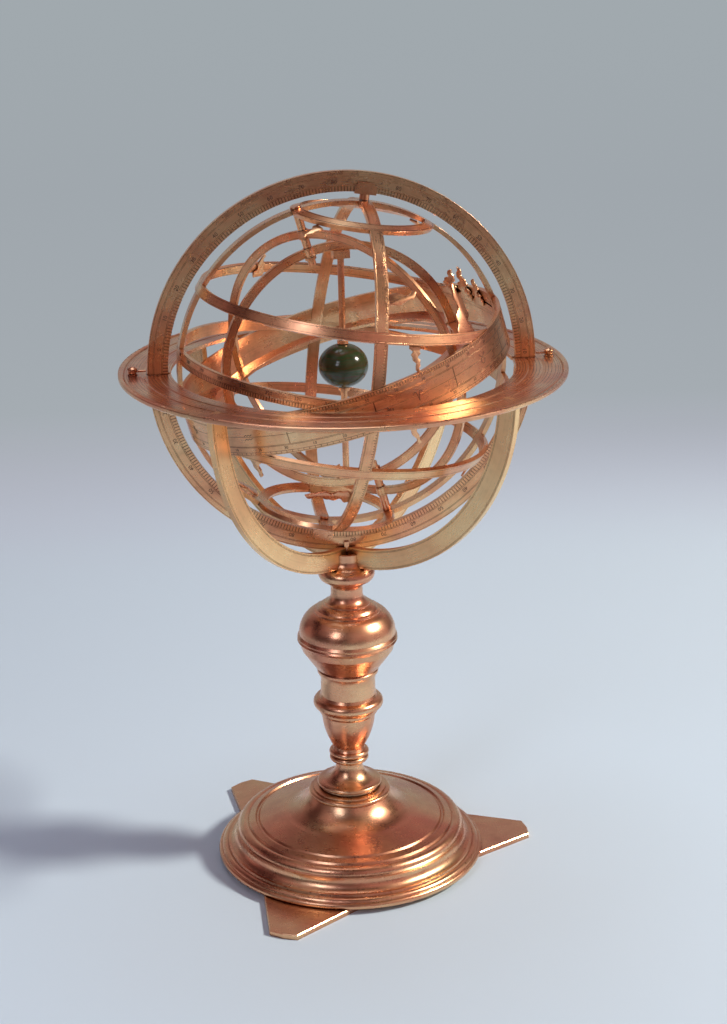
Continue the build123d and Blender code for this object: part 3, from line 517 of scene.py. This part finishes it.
def joinPieces(name, shapes, material, body):
    bpy.ops.object.select_all(action="DESELECT")
    for shape in shapes:
        shape.select_set(True)
    bpy.context.view_layer.objects.active = shapes[0]
    bpy.ops.object.join()
    joined = bpy.context.object
    joined.name = name
    joined.data.materials.clear()
    joined.data.materials.append(material)
    bpy.ops.object.mode_set(mode="EDIT")
    bpy.ops.mesh.select_all(action="SELECT")
    bpy.ops.mesh.remove_doubles(threshold=joining["seam"])
    bpy.ops.object.mode_set(mode="OBJECT")
    bpy.ops.object.shade_smooth_by_angle(angle=math.radians(joining["softAngle"]))
    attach(joined, body)
    return joined


# Star pointers: thin plates sawn like flames and soldered under the rings. Each is longitude,
# latitude, heading round from north, length, width, lean of the tip, waves and size of its bud,
# in degrees and millimetres.

starPointers = {
    "thickness": 1.1 * mm,
    "rounding": 0.15 * mm,    # of the sawn edges
    "seat": 85.95,            # just under the rings
    "foot": 2.5,              # how far the plate goes under the ring
    "flamesNorth": ("star_pointers_north", (
        (-47, 63, 200, 9, 5, 2, 1.0, 0.5),
        (-30, 69, -25, 8, 5, -2, 1.0, 0.4),
        (120, 63, 170, 10, 5, 2, 1.0, 0.4),
        (38, 26, 2, 25, 11, 3, 1.5, 0.4),
        (0, 36, 80, 19, 9, 4, 1.0, 1.3),
    )),
    "flamesMiddle": ("star_pointers_middle", (
        (13, 21, 175, 12, 5, 1, 2.0, 0.6),
        (124, 25.5, -8, 14, 9.5, 2, 2.0, 0.5),
        (114.5, 25.5, 0, 17, 10, -2, 2.5, 0.4),
        (105, 25.5, 8, 13, 9.5, 2, 2.0, 0.6),
        (14, -2, 170, 15, 6, 3, 1.5, 0.5),
        (-150, 22, 10, 12, 6, 2, 1.0, 0.5),
    )),
    "flamesSouth": ("star_pointers_south", (
        (0, -37, -85, 26, 9, 3, 2.5, 1.3),
        (-100, -62, 10, 16, 7, -2, 1.0, 0.9),
        (60, -25.5, 175, 12, 6, 2, 1.0, 0.5),
        (-42, -24, 185, 14, 7, 3, 1.5, 0.6),
        (160, -62, 20, 12, 6, 2, 1.0, 0.5),
    )),
}

flameEdge = {
    "steps": 28,              # points up each side
    "sway": 0.10,             # of the width, from side to side
    "scallop": 0.22,          # of the half width, in and out
    "taper": 0.75,            # 1 would narrow evenly, less keeps the plate wide for longer
    "budPlace": 0.9,          # of the length
    "budReach": 0.06,
}


def flameOutline(length, width, lean, waves, bud):
    def sway(share):
        return flameEdge["sway"] * width * math.sin(2 * math.pi * waves * share) + lean * share ** 2

    left, right = [], []
    for step in range(flameEdge["steps"]):
        share = step / flameEdge["steps"]
        scallop = 1 + flameEdge["scallop"] * math.cos(4 * math.pi * waves * share)
        half = width / 2 * (1 - share) ** flameEdge["taper"] * scallop
        half += bud * math.exp(-((share - flameEdge["budPlace"]) / flameEdge["budReach"]) ** 2)
        left.append((length * share, sway(share) + half))
        right.append((length * share, sway(share) - half))
    foot = starPointers["foot"]
    return [(-foot, -width / 2), (-foot, width / 2)] + left + [(length, sway(1))] + right[::-1]


# Under the cage's rings, lowered by the bow of the ring across the plate's width
def placeOnSky(longitude, latitude, heading, width):
    turn, rise = math.radians(longitude), math.radians(latitude)
    level = Vector((math.cos(turn), math.sin(turn), 0)) * math.cos(rise)
    out = skyAxes @ (level + Vector((0, 0, math.sin(rise))))
    north = (pole - out * math.sin(rise)).normalized()
    along = turnedBy(north, out, -heading)
    bow = (width / 2) ** 2 / (2 * starPointers["seat"])
    depth = (starPointers["seat"] - bow) * mm - starPointers["thickness"] / 2
    return placeAt(sphere["centre"] + out * depth, along, out.cross(along), out)


def flamePlate(longitude, latitude, heading, length, width, lean, waves, bud):
    curve, spline = flatCurve("POLY", flameOutline(length, width, lean, waves, bud), mm)
    curve.dimensions = "2D"
    curve.fill_mode = "BOTH"
    spline.use_cyclic_u = True
    curve.offset = -starPointers["rounding"]
    curve.bevel_depth = starPointers["rounding"]
    curve.bevel_resolution = 1
    curve.extrude = starPointers["thickness"] / 2 - starPointers["rounding"]
    return asMesh(placeOnSky(longitude, latitude, heading, width))


bpy.ops.object.select_all(action="DESELECT")
pointerMetal = bpy.data.materials["giltBrassPointers"]
for name in ("flamesNorth", "flamesMiddle", "flamesSouth"):
    replaced, places = starPointers[name]
    flames = joinPieces(name, [flamePlate(*place) for place in places], pointerMetal, "cage")
    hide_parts(replaced)
print("star pointers made")


# Numbers on the scales: flat figures let into the metal, each standing a little proud of it

numbers = {
    "depth": 0.10 * mm,
    "proud": 0.03 * mm,
    "every": 10,              # degrees
}
meridianNumbers = {
    "size": 3.1 * mm,
    "radius": 97.9,
    "face": 1.6,              # half the ring's thickness
}
equatorNumbers = {
    "size": 2.6 * mm,
    "after": 4.6,             # degrees past the mark
    "height": 1.2,
}
zodiacNumbers = {
    "size": 2.2 * mm,
    "after": 8.2,
    "heights": (6.75, -7.3),
}

# Dirt that has settled in the cuts: matt, dark red brown, the same all over
inkMaterial, inkTree = newMaterial("dirtInCuts")
inkShader = addNode(
    inkTree, "BsdfPrincipled", {"Roughness": 0.6, "Metallic": 0.0, "Base Color": hexColour("#3A170D")}
)
addNode(inkTree, "OutputMaterial", {}, {"Surface": inkShader})


# One flat figure, its face centred on its place
def figure(text, place, size):
    bpy.ops.object.text_add()
    words = bpy.context.object.data
    words.body = text
    words.size = size
    words.resolution_u = 2
    words.align_x = "CENTER"
    words.align_y = "CENTER"
    words.extrude = numbers["depth"] / 2
    return asMesh(place)


def outwards(axes, degrees):
    turn = math.radians(degrees)
    return axes @ Vector((math.cos(turn), math.sin(turn), 0))


# On a flat ring's face: baseline along the ring, top away from its centre
def placeOnFlat(axes, radius, degrees, height):
    out = outwards(axes, degrees)
    axis = Vector(axes.col[2])
    normal = axis * (1 if height > 0 else -1)
    spot = sphere["centre"] + out * radius * mm + axis * height * mm
    spot += normal * (numbers["proud"] - numbers["depth"] / 2)
    return placeAt(spot, out.cross(normal), out, normal)


# On a band's outside: baseline along the band, top towards its axis' positive end
def placeOnBand(axes, radius, degrees, height):
    out = outwards(axes, degrees)
    axis = Vector(axes.col[2])
    spot = sphere["centre"] + out * radius * mm + axis * height * mm
    spot += out * (numbers["proud"] - numbers["depth"] / 2)
    return placeAt(spot, axis.cross(out), axis, out)


bpy.ops.object.select_all(action="DESELECT")
shapes = []
for step in range(0, 360, numbers["every"]):
    fromPole = min(step, 360 - step)
    if fromPole in (0, 180):
        continue
    for side in (-1, 1):
        face = side * meridianNumbers["face"]
        spot = placeOnFlat(meridianAxes, meridianNumbers["radius"], step - sphere["tilt"], face)
        shapes.append(figure(str(abs(90 - fromPole)), spot, meridianNumbers["size"]))
joinPieces("meridianNumbers", shapes, inkMaterial, "meridian")

shapes = []
for step in range(0, 360, numbers["every"]):
    degrees = step + equatorNumbers["after"]
    spot = placeOnBand(skyAxes, sphere["rim"], degrees, equatorNumbers["height"])
    shapes.append(figure(str(step or 360), spot, equatorNumbers["size"]))
joinPieces("equatorNumbers", shapes, inkMaterial, "cage")

shapes = []
for step in range(0, 360, numbers["every"]):
    degrees = step + zodiacNumbers["after"]
    for height in zodiacNumbers["heights"]:
        spot = placeOnBand(zodiacAxes, sphere["rim"], degrees, height)
        shapes.append(figure(str(step % 30 + 10), spot, zodiacNumbers["size"]))
joinPieces("zodiacNumbers", shapes, inkMaterial, "cage")
print("numbers made")


# The twelve traditional signs, each a few strokes of a graver in a box one unit high

zodiacSigns = {
    "size": 5.6 * mm,
    "line": 0.16 * mm,        # half the width of a stroke
    "sink": 0.05,             # below the band's face
    "height": -0.2,
    "first": 15,              # degrees from the equinox to the first sign
    "apart": 30,
    "circle": 0.17,           # radius of a small circle in a sign
    "circleStep": 40,
}


def circle(x, y, scale=1.0):
    radius = scale * zodiacSigns["circle"]
    turns = [math.radians(degrees) for degrees in range(0, 361, zodiacSigns["circleStep"])]
    return [(x + radius * math.cos(turn), y + radius * math.sin(turn)) for turn in turns]


signs = {
    "ram": (
        [(-.45, .2), (-.35, .45), (-.12, .38), (0, -.5)],
        [(.45, .2), (.35, .45), (.12, .38), (0, -.5)],
    ),
    "bull": (
        circle(0, -.2, 1.7),
        [(-.42, .5), (-.2, .15), (.2, .15), (.42, .5)],
    ),
    "twins": (
        [(-.4, .46), (0, .38), (.4, .46)],
        [(-.4, -.46), (0, -.38), (.4, -.46)],
        [(-.18, .4), (-.18, -.4)],
        [(.18, .4), (.18, -.4)],
    ),
    "crab": (
        circle(-.24, .1),
        [(-.41, .12), (-.1, .42), (.45, .25)],
        circle(.24, -.1),
        [(.41, -.12), (.1, -.42), (-.45, -.25)],
    ),
    "lion": (
        circle(-.24, -.14),
        [(-.12, -.02), (-.25, .32), (.05, .48), (.26, .2), (.1, -.25), (.24, -.48), (.44, -.36)],
    ),
    "maiden": (
        [(-.45, .42), (-.4, -.4)],
        [(-.4, .25), (-.26, .42), (-.15, .25), (-.15, -.4)],
        [(-.15, .25), (0, .42), (.1, .25), (.1, -.3), (.32, -.5)],
        [(.1, .15), (.3, .3), (.38, 0), (.05, -.42)],
    ),
    "scales": (
        [(-.45, -.4), (.45, -.4)],
        [(-.45, -.15), (-.15, -.15), (-.28, .15), (0, .42), (.28, .15), (.15, -.15), (.45, -.15)],
    ),
    "scorpion": (
        [(-.45, .42), (-.4, -.4)],
        [(-.4, .25), (-.26, .42), (-.15, .25), (-.15, -.4)],
        [(-.15, .25), (0, .42), (.1, .25), (.1, -.35), (.26, -.46), (.44, -.22)],
        [(.26, -.22), (.44, -.2), (.48, -.38)],
    ),
    "archer": (
        [(-.4, -.45), (.42, .45)],
        [(.1, .45), (.42, .45), (.42, .12)],
        [(-.38, -.05), (0, -.42)],
    ),
    "goat": (
        [(-.45, .35), (-.3, .4), (-.25, -.2)],
        [(-.25, .1), (-.08, .42), (.05, .2), (.02, -.3), (-.14, -.48)],
        circle(.2, -.14),
    ),
    "waterBearer": (
        [(-.45, .08), (-.25, .3), (-.1, .08), (.1, .3), (.22, .08), (.45, .3)],
        [(-.45, -.3), (-.25, -.08), (-.1, -.3), (.1, -.08), (.22, -.3), (.45, -.08)],
    ),
    "fishes": (
        [(-.38, .48), (-.15, 0), (-.38, -.48)],
        [(.38, .48), (.15, 0), (.38, -.48)],
        [(-.4, 0), (.4, 0)],
    ),
}


# One stroke as a thin wire let into the band
def stroke(points, place):
    kind = "POLY" if len(points) == 2 else "NURBS"
    curve, spline = flatCurve(kind, points, zodiacSigns["size"])
    spline.order_u = 3
    spline.use_endpoint_u = True
    curve.resolution_u = 4
    curve.bevel_depth = zodiacSigns["line"]
    curve.bevel_resolution = 1
    curve.use_fill_caps = True
    return asMesh(place)


shapes = []
for number, strokes in enumerate(signs.values()):
    degrees = zodiacSigns["first"] + zodiacSigns["apart"] * number
    radius = sphere["rim"] - zodiacSigns["sink"]
    spot = placeOnBand(zodiacAxes, radius, degrees, zodiacSigns["height"])
    shapes += [stroke(points, spot) for points in strokes]
joinPieces("zodiacSigns", shapes, inkMaterial, "cage")
print("signs made")


# Studio

studio = {
    "paper": "#CEE4F3",       # the floor near the object, under the lamps
    "fade": (0.42, 0.85),     # metres out, where the lamps no longer reach evenly and the painted glow takes over
    "shades": (               # metres out, painted shade the paper glows with there, darker further out
        (0.30, "#C5CFDD"),
        (0.58, "#B7B8C6"),
        (0.95, "#A5ACB2"),
        (1.40, "#A0A7AD"),
        (1.90, "#A2ABAF"),
    ),
    "sideways": 0.5,          # the shades change this much slower to the sides
    "width": 2.6,
    "front": -1.3,
    "bend": 0.9,              # where the paper starts to rise, and the radius of its curve
    "bendSteps": 32,
    "wall": 0.15,             # straight paper above the curve
    "room": ((0.40, "#2E1518"), (0.62, "#B28E92")),   # dull rose walls with dark places
    "roomPatch": 1.6,         # dark places across the room
    "roomLevel": 1.0,
}


# Paper that runs from the floor up behind the object in one curve
def makeSweep():
    bpy.ops.mesh.primitive_plane_add(size=1)
    sweep = bpy.context.object
    sweep.name = "paperSweep"
    bend = studio["bend"]
    depth = bend - studio["front"]
    bpy.ops.object.mode_set(mode="EDIT")
    bpy.ops.mesh.select_all(action="SELECT")
    bpy.ops.transform.resize(value=(studio["width"], depth, 1))
    bpy.ops.transform.translate(value=(0, bend - depth / 2, 0))
    bpy.ops.mesh.select_all(action="DESELECT")
    bpy.ops.object.mode_set(mode="OBJECT")
    for edge in sweep.data.edges:     # only the back edge
        ends = [sweep.data.vertices[i].co.y for i in edge.vertices]
        edge.select = min(ends) > bend / 2
    bpy.ops.object.mode_set(mode="EDIT")
    bpy.ops.mesh.select_mode(type="EDGE")
    length = math.pi / 2 * bend / studio["bendSteps"]
    for step in range(studio["bendSteps"]):
        rise = math.pi / 2 * (step + 0.5) / studio["bendSteps"]
        bpy.ops.mesh.extrude_region_move(
            TRANSFORM_OT_translate={"value": (0, length * math.cos(rise), length * math.sin(rise))}
        )
    bpy.ops.mesh.extrude_region_move(TRANSFORM_OT_translate={"value": (0, 0, studio["wall"])})
    bpy.ops.object.mode_set(mode="OBJECT")
    bpy.ops.object.shade_smooth()
    sweep.data.materials.append(paperMaterial("backgroundPaper"))


# Matt paper under the lamps; far out it glows in painted shades, darker with distance, which the camera,
# metal and glass see in place of lit paper
def paperMaterial(name):
    material, tree = newMaterial(name)
    point = addNode(tree, "TexCoord", {})
    parts = addNode(tree, "SeparateXYZ", {}, {0: point.outputs["Object"]})
    side = addNode(tree, "Math", {"operation": "MULTIPLY", 1: studio["sideways"]}, {0: parts.outputs[0]})
    behind = addNode(tree, "Math", {"operation": "MAXIMUM", 1: 0.0}, {0: parts.outputs[1]})
    away = addNode(tree, "CombineXYZ", {}, {0: side, 1: behind, 2: parts.outputs[2]})
    out = addNode(tree, "VectorMath", {"operation": "LENGTH"}, {0: away})
    far = studio["shades"][-1][0]
    shareOut = addNode(tree, "Math", {"operation": "DIVIDE", 1: far}, {0: out.outputs["Value"]})
    colour = addNode(tree, "ValToRGB", {}, {0: shareOut})
    fillStops(colour.color_ramp.elements, [(metres / far, shade) for metres, shade in studio["shades"]])
    near, beyond = studio["fade"]
    reach = addNode(
        tree,
        "MapRange",
        {"interpolation_type": "SMOOTHSTEP", "From Min": near, "From Max": beyond},
        {"Value": out.outputs["Value"]},
    )
    rays = addNode(tree, "LightPath", {})
    seen = addNode(
        tree,
        "Math",
        {"operation": "MAXIMUM"},
        {0: rays.outputs["Is Camera Ray"], 1: rays.outputs["Is Glossy Ray"]},
    )
    seenThrough = addNode(
        tree, "Math", {"operation": "MAXIMUM"}, {0: seen, 1: rays.outputs["Is Transmission Ray"]}
    )
    # painted shade: far out the paper glows in its painted colours instead of taking lamplight
    paintedGlowShare = addNode(tree, "Math", {"operation": "MULTIPLY"}, {0: reach, 1: seenThrough})
    matt = addNode(tree, "BsdfDiffuse", {"Color": hexColour(studio["paper"])})
    glow = addNode(tree, "Emission", {}, {"Color": colour})
    both = addNode(tree, "MixShader", {}, {0: paintedGlowShare, 1: matt, 2: glow})
    addNode(tree, "OutputMaterial", {}, {"Surface": both})
    return material


bpy.ops.object.select_all(action="DESELECT")
makeSweep()

# Each lamp is its place, what it is aimed at, its size, watts and colour.
lamps = {
    "keyLamp": ((2.00, -0.42, 1.75), (0, 0, 0.15), (0.34, 0.34), 66, "#FFF4E8"),
    "fillLamp": ((-0.75, -0.95, 0.95), (0, 0, 0.25), (0.30, 0.60), 2.6, "#E6ECFF"),
    "topLamp": ((-0.1, 0.25, 1.5), (0, 0, 0.1), (0.7, 0.7), 4, "#F0F4FF"),
}


def addLamp(name, place, aim, size, power, colour):
    bpy.ops.object.light_add(type="AREA", location=place)
    lamp = bpy.context.object
    lamp.name = name
    lamp.data.shape = "RECTANGLE"
    lamp.data.size, lamp.data.size_y = size
    lamp.data.energy = power
    lamp.data.color = hexColour(colour)[:3]
    lamp.rotation_mode = "QUATERNION"
    lamp.rotation_quaternion = (Vector(aim) - Vector(place)).to_track_quat("-Z", "Y")


for name, setting in lamps.items():
    addLamp(name, *setting)


# The room: pale where the camera looks past the paper, dark and warm in the metal
def makeRoom():
    world = bpy.data.worlds.new("studioRoom")
    bpy.context.scene.world = world
    world.use_nodes = True
    tree = world.node_tree
    tree.nodes.clear()
    direction = addNode(tree, "TexCoord", {})
    patches = addNode(
        tree,
        "TexNoise",
        {"Scale": studio["roomPatch"], "Detail": 1.0},
        {"Vector": direction.outputs["Generated"]},
    )
    room = addNode(tree, "ValToRGB", {}, {0: patches})
    fillStops(room.color_ramp.elements, studio["room"])
    walls = addNode(tree, "Background", {"Strength": studio["roomLevel"]}, {"Color": room})
    pale = addNode(tree, "Background", {"Color": hexColour(studio["shades"][-1][1])})
    rays = addNode(tree, "LightPath", {})
    both = addNode(tree, "MixShader", {}, {0: rays.outputs["Is Camera Ray"], 1: walls, 2: pale})
    addNode(tree, "OutputWorld", {}, {"Surface": both})


makeRoom()


# Camera, placed from the rings' ellipses in the photograph

cameraSetting = {
    "place": Vector((-131.3, -1032.3, 563.7)) * mm,
    "target": Vector((9.69, -1.32, 205.4)) * mm,
    "roll": -0.672,           # degrees
    "lens": 71.03,
    "sensor": 36,
    "nearest": 0.05,
    "farthest": 20,
}
bpy.ops.object.camera_add(location=cameraSetting["place"])
camera = bpy.context.object
camera.data.sensor_width = cameraSetting["sensor"]
camera.data.lens = cameraSetting["lens"]
camera.data.clip_start = cameraSetting["nearest"]
camera.data.clip_end = cameraSetting["farthest"]
camera.rotation_mode = "QUATERNION"
aim = (cameraSetting["target"] - cameraSetting["place"]).to_track_quat("-Z", "Y")
camera.rotation_quaternion = aim @ Quaternion((0, 0, 1), math.radians(cameraSetting["roll"]))
bpy.context.scene.camera = camera
bpy.context.scene.view_settings.view_transform = "Standard"
print("studio made")
